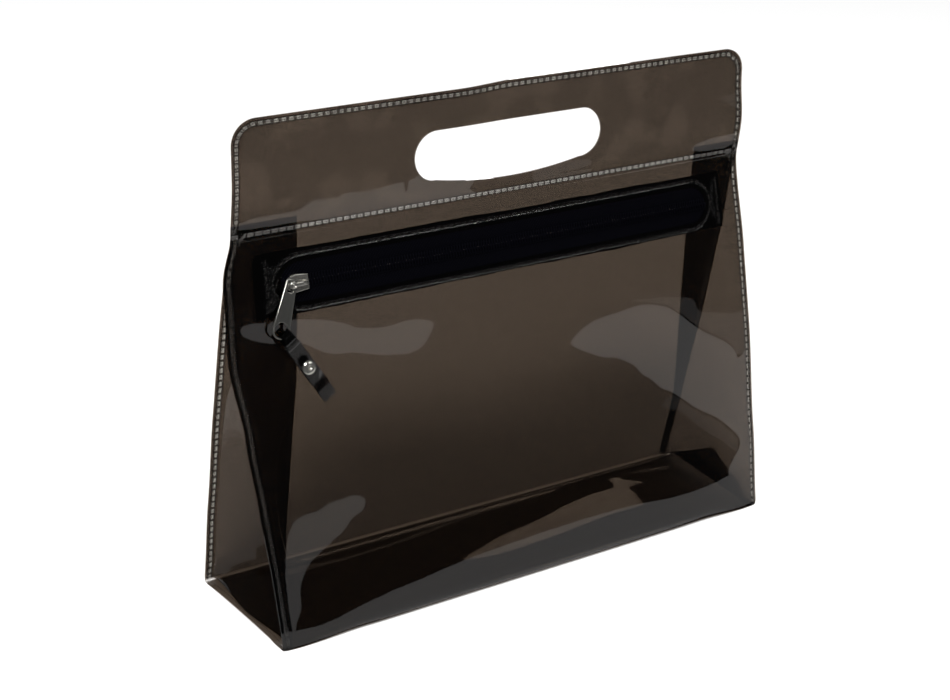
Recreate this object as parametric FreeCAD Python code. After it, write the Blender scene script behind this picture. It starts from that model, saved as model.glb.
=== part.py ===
import FreeCAD, Part
import math
import os

# Free-standing pouch of tinted PVC film with a cut-out handle, in millimetres.
# +X runs along the width, -Y is the front, +Z is up, and the origin is the
# middle of the base on the floor.

# --- driving dimensions -----------------------------------------------------
BAG_WIDTH = 270.0
BASE_DEPTH = 73.0
SEAM_HEIGHT = 175.0        # cross seam, where the walls meet
TOTAL_HEIGHT = 224.5
HANDLE_HALF = 1.0          # half the thickness of the closed handle
CORNER_RADIUS = 11.0
FILM = 0.4

HOLE_HALF_WIDTH = 50.2
HOLE_CENTRE_X = 1.6
HOLE_TOP_Z = 207.7
HOLE_SIDE_Z = 197.0
HOLE_SHOULDER_Z = 185.2
HOLE_BOTTOM_Z = 181.7
HOLE_FLAT_HALF = 38.5

ZIP_HEIGHT = 152.7         # centre line of the zip above the floor
WINDOW_LEFT, WINDOW_RIGHT = -120.5, 114.5
WINDOW_HALF = 8.6
TAPE_LEFT, TAPE_RIGHT = -128.0, 124.0
TAPE_HALF = 14.0
TAPE_THICK = 0.5
CHAIN_GAP = 0.6            # half the gap between the two coil rows
COIL_LEFT, COIL_RIGHT = WINDOW_LEFT + 0.5, WINDOW_RIGHT - 0.6
COIL_WIDTH = 1.7
COIL_HEIGHT = 1.3

GUSSET_HALF_TOP = 29.0     # half the gusset's width, measured along the film
GUSSET_HALF_BASE = 37.0
GUSSET_MARGIN = 4.0        # sewn edge that lies flat on the wall
GUSSET_TOP = 180.0
GUSSET_GAP = 0.55          # room for the zip tape behind the front wall

STITCH_INSET = 2.3
THREAD_WIDTH = 0.5
THREAD_THICK = 0.15

SLIDER_X = -110.6
SLIDER_LENGTH = 10.6
SLIDER_NOSE_HALF = 3.9
SLIDER_TAIL_HALF = 3.3
SLIDER_PLATE = 1.0
SLIDER_CLEAR = 0.3
FLANGE = 0.6
BRIDGE_HALF = 0.8
BRIDGE_BAR = 1.0
BRIDGE_LEG = 1.3
BRIDGE_LENGTH = 8.8
BRIDGE_RISE = 2.4          # clear height under the bridge's bar

TAB_THICK = 1.1
TAB_PIVOT_TO_HOLE = 19.3
TAB_TOP_HALF = 2.6
TAB_END_RADIUS = 4.0
TAB_HOLE_RADIUS = 3.2
TAB_EYE_HALF = 1.5
TAB_EYE_ABOVE = 1.4
TAB_EYE_BELOW = 2.6
TAB_TILT = -21.3           # degrees from hanging straight down the wall

STRAP_LENGTH = 34.7
STRAP_UNDERLAP = 24.9
STRAP_HALF = 3.5
STRAP_NECK_HALF = 1.9
STRAP_THICK = 0.7
STRAP_LOOP = 1.42          # inner radius of the loop round the tab's rim
STRAP_JOIN = 9.0           # where the two layers meet
STRAP_LEAN = 3.3           # degrees from parallel, towards the wall
STRAP_TURN = 33.0          # degrees from hanging straight down the wall

RIVET_PLACE = 17.5
RIVET_HEAD_RADIUS = 3.2
RIVET_HEAD = 0.8
RIVET_POST_RADIUS = 1.1
RIVET_BACK = 0.45
RIVET_SLOT = 0.9

# --- derived dimensions -----------------------------------------------------
HALF_WIDTH = BAG_WIDTH / 2
HALF_DEPTH = BASE_DEPTH / 2
WALL_SLOPE = (HALF_DEPTH - HANDLE_HALF) / SEAM_HEIGHT
WALL_ANGLE = math.degrees(math.atan(WALL_SLOPE))
FILM_ACROSS = FILM / math.cos(math.radians(WALL_ANGLE))
TAPE_FRONT = -FILM
TAPE_BACK = TAPE_FRONT - TAPE_THICK
COIL_FRONT = TAPE_FRONT + COIL_HEIGHT
PLATE_BACK = COIL_FRONT + SLIDER_CLEAR
PLATE_FRONT = PLATE_BACK + SLIDER_PLATE
PIVOT_X = SLIDER_X - BRIDGE_LENGTH / 2 + BRIDGE_LEG / 2
TAB_MID = PLATE_FRONT + BRIDGE_RISE / 2

os.makedirs("parts", exist_ok=True)
vec = FreeCAD.Vector
AXIS_X, AXIS_Y, AXIS_Z = vec(1, 0, 0), vec(0, 1, 0), vec(0, 0, 1)


# --- shared helpers ---------------------------------------------------------
def save(name, shape):
    shape.exportStep("parts/" + name + ".step")


def box(low, high):
    size = [b - a for a, b in zip(low, high)]
    return Part.makeBox(*size, vec(*low))


def prism(points, direction):
    wire = Part.makePolygon([vec(*p) for p in points + points[:1]])
    return Part.Face(wire).extrude(direction)


def turned(shape, axis, degrees, centre=vec(0, 0, 0)):
    result = shape.copy()
    result.rotate(centre, axis, degrees)
    return result


def moved(shape, x, y, z):
    result = shape.copy()
    result.translate(vec(x, y, z))
    return result


def on_wall(shape):
    """Place a shape drawn flat, with X across, Y up the wall and Z outward,
    on the front wall's outer face, with its origin on the zip's centre line."""
    stood = turned(shape, AXIS_X, 90 - WALL_ANGLE)
    return moved(stood, 0, -wall_face(ZIP_HEIGHT), ZIP_HEIGHT)


def wall_face(z):
    """Distance of the walls' outer faces from the middle plane at a height."""
    return max(HALF_DEPTH - WALL_SLOPE * z, HANDLE_HALF)


def slot(left, right, half, low, high):
    """A long plate with round ends, flat in XY."""
    mid_left, mid_right = left + half, right - half
    edges = [
        Part.makeLine(vec(mid_left, half, low), vec(mid_right, half, low)),
        Part.Arc(vec(mid_right, half, low), vec(right, 0, low),
                 vec(mid_right, -half, low)).toShape(),
        Part.makeLine(vec(mid_right, -half, low), vec(mid_left, -half, low)),
        Part.Arc(vec(mid_left, -half, low), vec(left, 0, low),
                 vec(mid_left, half, low)).toShape(),
    ]
    return Part.Face(Part.Wire(edges)).extrude(vec(0, 0, high - low))


# --- main sheet: front wall, base and back wall -----------------------------
def rounded_outline(inset, low):
    """Side-to-side outline of the bag in XZ, with round top corners."""
    half, top = HALF_WIDTH - inset, TOTAL_HEIGHT - inset
    radius = CORNER_RADIUS - inset
    diagonal = radius * (1 - math.sqrt(0.5))
    corners = [
        Part.makeLine(vec(half, 0, low), vec(half, 0, top - radius)),
        Part.Arc(vec(half, 0, top - radius),
                 vec(half - diagonal, 0, top - diagonal),
                 vec(half - radius, 0, top)).toShape(),
        Part.makeLine(vec(half - radius, 0, top), vec(radius - half, 0, top)),
        Part.Arc(vec(radius - half, 0, top),
                 vec(diagonal - half, 0, top - diagonal),
                 vec(-half, 0, top - radius)).toShape(),
        Part.makeLine(vec(-half, 0, top - radius), vec(-half, 0, low)),
        Part.makeLine(vec(-half, 0, low), vec(half, 0, low)),
    ]
    return Part.Face(Part.Wire(corners))


def hand_hole():
    """Slot for the fingers, straight above and bulging below."""
    left, right = HOLE_CENTRE_X - HOLE_FLAT_HALF, HOLE_CENTRE_X + HOLE_FLAT_HALF
    far_left = HOLE_CENTRE_X - HOLE_HALF_WIDTH
    far_right = HOLE_CENTRE_X + HOLE_HALF_WIDTH
    top_left, top_right = vec(left, 0, HOLE_TOP_Z), vec(right, 0, HOLE_TOP_Z)
    low_left = vec(left, 0, HOLE_SHOULDER_Z)
    low_right = vec(right, 0, HOLE_SHOULDER_Z)
    edges = [
        Part.makeLine(top_left, top_right),
        Part.Arc(top_right, vec(far_right, 0, HOLE_SIDE_Z), low_right).toShape(),
        Part.Arc(low_right, vec(HOLE_CENTRE_X, 0, HOLE_BOTTOM_Z),
                 low_left).toShape(),
        Part.Arc(low_left, vec(far_left, 0, HOLE_SIDE_Z), top_left).toShape(),
    ]
    cutter = Part.Face(Part.Wire(edges)).extrude(vec(0, 2 * HALF_DEPTH, 0))
    return moved(cutter, 0, -HALF_DEPTH, 0)


def front_wall():
    outer_low, inner_low = -wall_face(FILM), FILM_ACROSS - wall_face(FILM)
    profile = [
        (-HALF_WIDTH, outer_low, FILM),
        (-HALF_WIDTH, -HANDLE_HALF, SEAM_HEIGHT),
        (-HALF_WIDTH, -HANDLE_HALF, TOTAL_HEIGHT),
        (-HALF_WIDTH, FILM_ACROSS - HANDLE_HALF, TOTAL_HEIGHT),
        (-HALF_WIDTH, FILM_ACROSS - HANDLE_HALF, SEAM_HEIGHT),
        (-HALF_WIDTH, inner_low, FILM),
    ]
    wall = prism(profile, vec(BAG_WIDTH, 0, 0))
    outline = rounded_outline(0, -1).extrude(vec(0, -BASE_DEPTH, 0))
    return wall.common(outline).cut(hand_hole())


def main_sheet():
    plain_wall = front_wall()
    window = slot(WINDOW_LEFT, WINDOW_RIGHT, WINDOW_HALF, -2, 2)
    save("front_panel", plain_wall.cut(on_wall(window)))
    save("back_panel", plain_wall.mirror(vec(0, 0, 0), AXIS_Y))
    save("base_panel", box((-HALF_WIDTH, -HALF_DEPTH, 0),
                           (HALF_WIDTH, HALF_DEPTH, FILM)))


# --- gussets: one strip at each side, in two halves about its centre crease --
def gusset_half_opening(z):
    """Half the distance between the gusset's sewn edges, on their open side."""
    fade = max(0.0, min(1.0, (SEAM_HEIGHT - z) / (TAPE_HALF / 2)))
    gap = 0.05 + (GUSSET_GAP - 0.05) * fade
    return wall_face(z) - FILM_ACROSS - gap - FILM


def fold_depth(z):
    """How far the centre crease is tucked in from the bag's side."""
    level = min(z, SEAM_HEIGHT)
    strip = GUSSET_HALF_BASE
    strip += (GUSSET_HALF_TOP - GUSSET_HALF_BASE) * level / SEAM_HEIGHT
    return math.sqrt(strip ** 2 - (HALF_DEPTH - WALL_SLOPE * level) ** 2)


def gusset_section(z):
    """Closed V of film at one height, seen from above, open towards -X."""
    opening, fold = gusset_half_opening(z), fold_depth(z)
    run = fold - GUSSET_MARGIN
    length = math.hypot(run, opening)
    across, along = FILM * opening / length, FILM * run / length
    miter = FILM * math.tan(0.5 * math.atan2(opening, run))
    front_half = [
        (0, -opening),
        (0, -opening - FILM),
        (GUSSET_MARGIN + miter, -opening - FILM),
        (fold + across, -along),
        (fold + FILM, 0),
    ]
    back_half = [(x, -y) for x, y in reversed(front_half[:-1])]
    inner = [(GUSSET_MARGIN, opening), (fold, 0), (GUSSET_MARGIN, -opening)]
    ring = [vec(x - HALF_WIDTH, y, z) for x, y in front_half + back_half + inner]
    return Part.makePolygon(ring + ring[:1])


def gussets():
    foot = 2 * FILM
    levels = [foot, 14, 30, 52, 80, 115, 150, 168, SEAM_HEIGHT, GUSSET_TOP]
    shell = Part.makeLoft([gusset_section(z) for z in levels], True, True)
    reach = gusset_half_opening(foot) + FILM / 2
    margin = box((-HALF_WIDTH, -reach, FILM),
                 (-HALF_WIDTH + GUSSET_MARGIN, reach, foot))
    strip = shell.fuse(margin)
    halves = (("front", -HALF_DEPTH, 0), ("back", 0, HALF_DEPTH))
    for name, low_y, high_y in halves:
        side = box((-HALF_WIDTH, low_y, 0), (0, high_y, TOTAL_HEIGHT))
        half = strip.common(side)
        save("left_gusset_" + name, half)
        save("right_gusset_" + name, half.mirror(vec(0, 0, 0), AXIS_X))


# --- zip --------------------------------------------------------------------
def zip_halves():
    tape = box((TAPE_LEFT, CHAIN_GAP, TAPE_BACK),
               (TAPE_RIGHT, TAPE_HALF, TAPE_FRONT))
    coil = box((COIL_LEFT, CHAIN_GAP, TAPE_FRONT),
               (COIL_RIGHT, CHAIN_GAP + COIL_WIDTH, COIL_FRONT))
    crown = [edge for edge in coil.Edges
             if edge.Length > COIL_WIDTH * 2
             and edge.CenterOfMass.z > TAPE_FRONT + COIL_HEIGHT / 2]
    coil = coil.makeFillet(COIL_HEIGHT / 3, crown)
    for name, shape in (("tape", tape), ("coil", coil)):
        save("zip_" + name + "_upper", on_wall(shape))
        lower = shape.mirror(vec(0, 0, 0), AXIS_Y)
        save("zip_" + name + "_lower", on_wall(lower))


# --- slider -----------------------------------------------------------------
def slider_outline(nose_half, tail_half, low, high):
    """Slider plate: widest a little behind its rounded nose."""
    nose, tail = -SLIDER_LENGTH / 2, SLIDER_LENGTH / 2
    widest = nose + SLIDER_LENGTH * 0.3
    edges = [
        Part.Arc(vec(widest, -nose_half, low), vec(nose, 0, low),
                 vec(widest, nose_half, low)).toShape(),
        Part.makeLine(vec(widest, nose_half, low), vec(tail, tail_half, low)),
        Part.makeLine(vec(tail, tail_half, low), vec(tail, -tail_half, low)),
        Part.makeLine(vec(tail, -tail_half, low),
                      vec(widest, -nose_half, low)),
    ]
    return Part.Face(Part.Wire(edges)).extrude(vec(0, 0, high - low))


def slider_shell(low, high, wall_low, wall_high):
    """One plate with its two side flanges."""
    plate = slider_outline(SLIDER_NOSE_HALF, SLIDER_TAIL_HALF, low, high)
    rim = slider_outline(SLIDER_NOSE_HALF, SLIDER_TAIL_HALF,
                         wall_low, wall_high)
    channel = slider_outline(SLIDER_NOSE_HALF - FLANGE,
                             SLIDER_TAIL_HALF - FLANGE, wall_low, wall_high)
    through = box((-SLIDER_LENGTH, FLANGE - SLIDER_TAIL_HALF, wall_low),
                  (SLIDER_LENGTH, SLIDER_TAIL_HALF - FLANGE, wall_high))
    return plate.fuse(rim.cut(channel).cut(through))


def bridge():
    """Arch along the slider that carries the pull tab."""
    half, top = BRIDGE_LENGTH / 2, PLATE_FRONT + BRIDGE_RISE + BRIDGE_BAR
    block = box((-half, -BRIDGE_HALF, PLATE_FRONT - 0.1),
                (half, BRIDGE_HALF, top))
    shoulders = [edge for edge in block.Edges
                 if edge.CenterOfMass.z > top - 0.01
                 and abs(edge.CenterOfMass.x) > half - 0.01]
    block = block.makeFillet(BRIDGE_BAR * 0.9, shoulders)
    gap = box((BRIDGE_LEG - half, -2 * BRIDGE_HALF, PLATE_FRONT),
              (half - BRIDGE_LEG, 2 * BRIDGE_HALF, PLATE_FRONT + BRIDGE_RISE))
    return block.cut(gap)


def slider():
    slot_front = TAPE_FRONT + SLIDER_CLEAR
    slot_back = TAPE_BACK - SLIDER_CLEAR
    front = slider_shell(PLATE_BACK, PLATE_FRONT, slot_front, PLATE_BACK)
    back = slider_outline(SLIDER_NOSE_HALF, SLIDER_TAIL_HALF,
                          slot_back - SLIDER_PLATE, slot_back)
    wedge_half = CHAIN_GAP - SLIDER_CLEAR
    wedge = box((-SLIDER_LENGTH / 2 + 1.0, -wedge_half, slot_back),
                (-SLIDER_LENGTH / 2 + 4.0, wedge_half, PLATE_BACK))
    body = front.fuse([back, wedge, bridge()])
    save("slider_body", on_wall(moved(body, SLIDER_X, 0, 0)))


# --- pull tab ---------------------------------------------------------------
def tab_outline():
    """Tapered tab hanging along -Y from its pivot, round at its lower end."""
    top = TAB_EYE_ABOVE + TAB_THICK
    end = -TAB_PIVOT_TO_HOLE
    corner = 1.2
    edges = [
        Part.makeLine(vec(corner - TAB_TOP_HALF, top, 0),
                      vec(TAB_TOP_HALF - corner, top, 0)),
        Part.makeLine(vec(TAB_TOP_HALF - corner, top, 0),
                      vec(TAB_TOP_HALF, top - corner, 0)),
        Part.makeLine(vec(TAB_TOP_HALF, top - corner, 0),
                      vec(TAB_END_RADIUS, end, 0)),
        Part.Arc(vec(TAB_END_RADIUS, end, 0), vec(0, end - TAB_END_RADIUS, 0),
                 vec(-TAB_END_RADIUS, end, 0)).toShape(),
        Part.makeLine(vec(-TAB_END_RADIUS, end, 0),
                      vec(-TAB_TOP_HALF, top - corner, 0)),
        Part.makeLine(vec(-TAB_TOP_HALF, top - corner, 0),
                      vec(corner - TAB_TOP_HALF, top, 0)),
    ]
    return Part.Face(Part.Wire(edges))


def at_pivot(shape):
    return on_wall(moved(shape, PIVOT_X, 0, TAB_MID))


def pull_tab():
    plate = tab_outline().extrude(vec(0, 0, TAB_THICK))
    plate = moved(plate, 0, 0, -TAB_THICK / 2)
    eye = box((-TAB_EYE_HALF, -TAB_EYE_BELOW, -TAB_THICK),
              (TAB_EYE_HALF, TAB_EYE_ABOVE, TAB_THICK))
    hole = Part.makeCylinder(TAB_HOLE_RADIUS, 2 * TAB_THICK,
                             vec(0, -TAB_PIVOT_TO_HOLE, -TAB_THICK))
    tab = plate.cut(eye).cut(hole)
    save("pull_tab", at_pivot(turned(tab, AXIS_Z, TAB_TILT)))


# --- strap and rivet --------------------------------------------------------
def at_strap_hinge(shape):
    """Place a shape drawn hanging along -Y from the loop's centre."""
    tilt, turn = math.radians(TAB_TILT), math.radians(STRAP_TURN)
    rim = (TAB_HOLE_RADIUS + TAB_END_RADIUS) / 2
    x = TAB_PIVOT_TO_HOLE * math.sin(tilt) + rim * math.sin(turn)
    y = -TAB_PIVOT_TO_HOLE * math.cos(tilt) - rim * math.cos(turn)
    leaned = turned(shape, AXIS_X, STRAP_LEAN)
    return at_pivot(moved(turned(leaned, AXIS_Z, STRAP_TURN), x, y, 0))


def strap_side(offset, end):
    """Outline points of one layer in the loop's plane, from loop to end."""
    sign = 1 if offset > 0 else -1
    outer, inner = STRAP_LOOP + STRAP_THICK, STRAP_LOOP
    near, far = 0.05, 0.05 + STRAP_THICK
    bend = STRAP_JOIN - 1.0
    profile = [
        (0, 0, sign * inner),
        (0, -bend, sign * near),
        (0, -end, sign * near),
        (0, -end, sign * far),
        (0, -bend, sign * far),
        (0, 0, sign * outer),
    ]
    layer = prism([(-STRAP_HALF, y, z) for _, y, z in profile],
                  vec(2 * STRAP_HALF, 0, 0))
    return layer


def pull_strap():
    ring = Part.makeCylinder(STRAP_LOOP + STRAP_THICK, 2 * STRAP_HALF,
                             vec(-STRAP_HALF, 0, 0), AXIS_X)
    bore = Part.makeCylinder(STRAP_LOOP, 2 * STRAP_HALF,
                             vec(-STRAP_HALF, 0, 0), AXIS_X)
    upper = box((-STRAP_HALF, 0, -STRAP_JOIN), (STRAP_HALF, STRAP_JOIN, STRAP_JOIN))
    loop = ring.cut(bore).common(upper)
    strap = loop.fuse([strap_side(1, STRAP_LENGTH),
                       strap_side(-1, STRAP_UNDERLAP)])
    outline = [
        (-STRAP_NECK_HALF, STRAP_JOIN, -STRAP_JOIN),
        (STRAP_NECK_HALF, STRAP_JOIN, -STRAP_JOIN),
        (STRAP_NECK_HALF, -2.0, -STRAP_JOIN),
        (STRAP_HALF, -STRAP_JOIN, -STRAP_JOIN),
        (STRAP_HALF, -2 * STRAP_LENGTH, -STRAP_JOIN),
        (-STRAP_HALF, -2 * STRAP_LENGTH, -STRAP_JOIN),
        (-STRAP_HALF, -STRAP_JOIN, -STRAP_JOIN),
        (-STRAP_NECK_HALF, -2.0, -STRAP_JOIN),
    ]
    strap = strap.common(prism(outline, vec(0, 0, 2 * STRAP_JOIN)))
    hole = Part.makeCylinder(RIVET_POST_RADIUS + 0.05, 4,
                             vec(0, -RIVET_PLACE, -2))
    save("pull_strap", at_strap_hinge(strap.cut(hole)))


def rivet():
    face = 0.05 + STRAP_THICK
    cap = Part.makeCylinder(RIVET_HEAD_RADIUS, RIVET_HEAD, vec(0, 0, face))
    rim = [edge for edge in cap.Edges if edge.CenterOfMass.z > face + 0.1
           and len(edge.Vertexes) == 1]
    cap = cap.makeFillet(RIVET_HEAD * 0.7, rim)
    cap = cap.cut(Part.makeCylinder(RIVET_SLOT, 2 * face, vec(0, 0, face)))
    back = Part.makeCylinder(RIVET_HEAD_RADIUS * 0.8, RIVET_BACK,
                             vec(0, 0, -face - RIVET_BACK))
    post = Part.makeCylinder(RIVET_POST_RADIUS, 2 * face + RIVET_BACK,
                             vec(0, 0, -face - RIVET_BACK))
    for name, shape in (("cap", cap), ("post", back.fuse(post))):
        placed = moved(shape, 0, -RIVET_PLACE, 0)
        save("rivet_" + name, at_strap_hinge(placed))


# --- sewing threads ---------------------------------------------------------
def handle_thread():
    half = THREAD_WIDTH / 2
    outer = rounded_outline(STITCH_INSET - half, GUSSET_TOP)
    inner = rounded_outline(STITCH_INSET + half, GUSSET_TOP - 1)
    run = outer.cut(inner).extrude(vec(0, -THREAD_THICK, 0))
    save("handle_edge_thread", moved(run, 0, -HANDLE_HALF, 0))
    seam_z = SEAM_HEIGHT + STITCH_INSET
    save("cross_seam_thread",
         box((-HALF_WIDTH + 1, -HANDLE_HALF - THREAD_THICK, seam_z - half),
             (HALF_WIDTH - 1, -HANDLE_HALF, seam_z + half)))


def side_threads():
    low = (GUSSET_MARGIN - ZIP_HEIGHT) / math.cos(math.radians(WALL_ANGLE))
    high = (SEAM_HEIGHT - ZIP_HEIGHT) / math.cos(math.radians(WALL_ANGLE))
    place = STITCH_INSET - HALF_WIDTH
    run = on_wall(box((place - THREAD_WIDTH / 2, low, 0),
                      (place + THREAD_WIDTH / 2, high, THREAD_THICK)))
    reach = HALF_DEPTH - 2 * GUSSET_MARGIN
    base = box((place - THREAD_WIDTH / 2, -reach, 2 * FILM),
               (place + THREAD_WIDTH / 2, reach, 2 * FILM + THREAD_THICK))
    back = run.mirror(vec(0, 0, 0), AXIS_Y)
    seams = (("front_seam", run), ("back_seam", back), ("base_seam", base))
    for name, shape in seams:
        save("left_" + name + "_thread", shape)
        save("right_" + name + "_thread", shape.mirror(vec(0, 0, 0), AXIS_X))


def zip_threads():
    half, out = THREAD_WIDTH / 2, 2.8
    outer = slot(WINDOW_LEFT - out - half, WINDOW_RIGHT + out + half,
                 WINDOW_HALF + out + half, 0, THREAD_THICK)
    inner = slot(WINDOW_LEFT - out + half, WINDOW_RIGHT + out - half,
                 WINDOW_HALF + out - half, -1, 1)
    save("zip_window_thread", on_wall(outer.cut(inner)))
    reach = WINDOW_HALF + out + 1.0
    for side, x in (("left", TAPE_LEFT + 2.0), ("right", TAPE_RIGHT - 2.0)):
        run = box((x - half, -reach, 0), (x + half, reach, THREAD_THICK))
        save(side + "_tape_end_thread", on_wall(run))


main_sheet()
gussets()
zip_halves()
slider()
pull_tab()
pull_strap()
rivet()
handle_thread()
side_threads()
zip_threads()
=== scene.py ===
import math
import random

import bpy
import numpy as np
from mathutils import Matrix, Vector, noise
from mathutils.geometry import delaunay_2d_cdt


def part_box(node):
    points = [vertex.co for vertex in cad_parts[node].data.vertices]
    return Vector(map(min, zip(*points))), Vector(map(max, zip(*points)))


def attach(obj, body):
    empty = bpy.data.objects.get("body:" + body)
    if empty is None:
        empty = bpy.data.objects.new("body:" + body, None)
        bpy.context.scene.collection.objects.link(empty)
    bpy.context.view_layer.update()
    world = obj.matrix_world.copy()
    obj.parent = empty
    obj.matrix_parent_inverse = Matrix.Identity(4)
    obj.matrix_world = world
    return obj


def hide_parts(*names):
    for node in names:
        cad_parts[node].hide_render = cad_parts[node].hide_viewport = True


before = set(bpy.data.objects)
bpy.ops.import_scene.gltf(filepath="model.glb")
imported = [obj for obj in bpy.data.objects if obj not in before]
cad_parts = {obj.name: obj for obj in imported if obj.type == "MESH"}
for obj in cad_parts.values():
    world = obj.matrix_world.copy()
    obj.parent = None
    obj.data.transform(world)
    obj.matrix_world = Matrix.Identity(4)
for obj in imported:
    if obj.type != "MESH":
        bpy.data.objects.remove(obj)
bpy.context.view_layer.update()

# Lengths are millimetres in the CAD frame, and become metres when a mesh is made.
MM = 0.001


def node_box(name):
    """The two corners of a CAD node's box."""
    low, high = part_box(name)
    return [c / MM for c in low], [c / MM for c in high]


# --- sizes taken from the frame ---------------------------------------------
front_high = node_box("front_panel")[1]
HALF_W, TOP_Z = front_high[0], front_high[2]
HALF_D = node_box("base_panel")[1][1]
FILM = node_box("base_panel")[1][2]
seam_low, seam_high = node_box("cross_seam_thread")
HANDLE_Y = -seam_high[1]
THREAD_ABOVE_SEAM = 3.75   # the CAD thread above the line where the walls meet
THREAD_ABOVE_BEND = 2.05   # and above the place where the wall's slope ends
SEAM_Z = seam_low[2] - THREAD_ABOVE_SEAM
ANGLE = math.atan((HALF_D - HANDLE_Y) / (seam_low[2] - THREAD_ABOVE_BEND))
SLOPE = math.tan(ANGLE)
window_low, window_high = node_box("zip_window_thread")
ZIP_Z = (window_low[2] + window_high[2]) / 2
WINDOW_GAP_L, WINDOW_GAP_R = 7.6, 3.4    # from the CAD thread's ends to the opening
WINDOW_L, WINDOW_R = window_low[0] + WINDOW_GAP_L, window_high[0] - WINDOW_GAP_R
WINDOW_HALF = 8.6          # half the opening's height
STITCH_IN = 2.3            # the edge seam, in from the film's edge


def wall_frame(x, up, out):
    """Point on or off the front wall: up the wall from the zip, out from it."""
    base_y = -(HALF_D - SLOPE * ZIP_Z)
    y = base_y + up * math.sin(ANGLE) - out * math.cos(ANGLE)
    return Vector((x, y, ZIP_Z + up * math.cos(ANGLE) + out * math.sin(ANGLE)))


def mesh_object(name, points, faces, smooth=True):
    """A mesh from points in millimetres."""
    mesh = bpy.data.meshes.new(name)
    mesh.from_pydata([tuple(c * MM for c in p) for p in points], [], faces)
    mesh.validate()
    if smooth:
        mesh.shade_smooth()
    obj = bpy.data.objects.new(name, mesh)
    bpy.context.scene.collection.objects.link(obj)
    return obj


def grid_faces(rows, columns, closed=False):
    """Faces of a grid of points listed row by row; closed joins each row's ends."""
    faces = []
    for row in range(rows - 1):
        for k in range(columns if closed else columns - 1):
            a, b = row * columns + k, row * columns + (k + 1) % columns
            faces.append((a, b, b + columns, a + columns))
    return faces


# --- materials --------------------------------------------------------------
class Shader:
    """A material under construction, with short helpers for its nodes."""

    def __init__(self, name):
        self.material = bpy.data.materials.new(name)
        self.material.use_nodes = True
        tree = self.material.node_tree
        tree.nodes.clear()
        self.nodes, self.links = tree.nodes, tree.links
        self.out = self.add("OutputMaterial")

    def add(self, kind, **settings):
        """A node, with its properties and inputs set by name."""
        node = self.nodes.new("ShaderNode" + kind)
        for key, value in settings.items():
            if hasattr(node, key):
                setattr(node, key, value)
            else:
                self.feed(node.inputs[key.replace("_", " ")], value)
        return node

    def feed(self, socket, value):
        """Set an input to a number or a colour, or link it to another node's output."""
        if isinstance(value, bpy.types.NodeSocket):
            self.links.new(value, socket)
        else:
            socket.default_value = (*value, 1) if isinstance(value, tuple) else value

    def math(self, operation, a, b=None, clamp=False):
        node = self.add("Math", operation=operation, use_clamp=clamp)
        for socket, value in zip(node.inputs, (a, b)):
            if value is not None:
                self.feed(socket, value)
        return node.outputs[0]

    def step(self, value, low, high):
        """0 below low, 1 above high, smooth between."""
        return self.add("MapRange", interpolation_type="SMOOTHSTEP", Value=value,
                        From_Min=low, From_Max=high).outputs[0]

    def mix_color(self, share, a, b):
        node = self.add("Mix", data_type="RGBA")
        for slot, value in ((0, share), (6, a), (7, b)):
            self.feed(node.inputs[slot], value)
        return node.outputs[2]

    def mix_looks(self, share, a, b):
        node = self.add("MixShader")
        for socket, value in zip(node.inputs, (share, a, b)):
            self.feed(socket, value)
        return node.outputs[0]

    def attribute(self, name):
        return self.add("Attribute", attribute_name=name).outputs["Fac"]

    def noise(self, scale, detail):
        node = self.add("TexNoise", Scale=scale, Detail=detail)
        self.feed(node.inputs["Vector"], self.add("TexCoord").outputs["Object"])
        return node.outputs["Fac"]

    def bump(self, height, strength, distance):
        return self.add("Bump", Strength=strength, Distance=distance,
                        Height=height).outputs[0]

    def finish(self, look):
        """Set the surface's look and give the finished material."""
        self.feed(self.out.inputs["Surface"], look)
        return self.material


STITCH_PITCH = 3.4
TINT = (0.484, 0.449, 0.416)          # of one face of the film; a sheet has two
STRETCHED_TINT = (0.70, 0.69, 0.675)  # where a stitch pulls the film thin
# White of stress-whitened film, also used for painted glints, a painted crease highlight and
# the strap's painted sheen.
STRESS_WHITE_AND_PAINTED_LIGHT = (0.86, 0.84, 0.82)
RIM_SHADE = 0.62           # the film bunched up round a stitch
FILM_ROUGHNESS = 0.012
FILM_IOR = 1.53
ROW_REACH = (1.7, 2.3)     # how far from its row a stitch is still drawn
CELL_SIDE = (0.62, 0.92)   # where a stitch's clear cell fades out, across the row
CELL_END = (0.36, 0.42)    # and along it, in stitches
RIM_SIDE = (1.05, 1.4)
CHANNEL_SIDE = (0.35, 1.1)
CHANNEL_DEPTH, CELL_RISE = 0.2, 0.10
BLOTCH_SCALE, BLOTCH_EDGE, BLOTCH_GAIN = 38, (0.53, 0.56), 0.06
RIPPLE_SCALE, RIPPLE, SEWN_RIPPLE = 55, 0.03, 0.012


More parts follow.
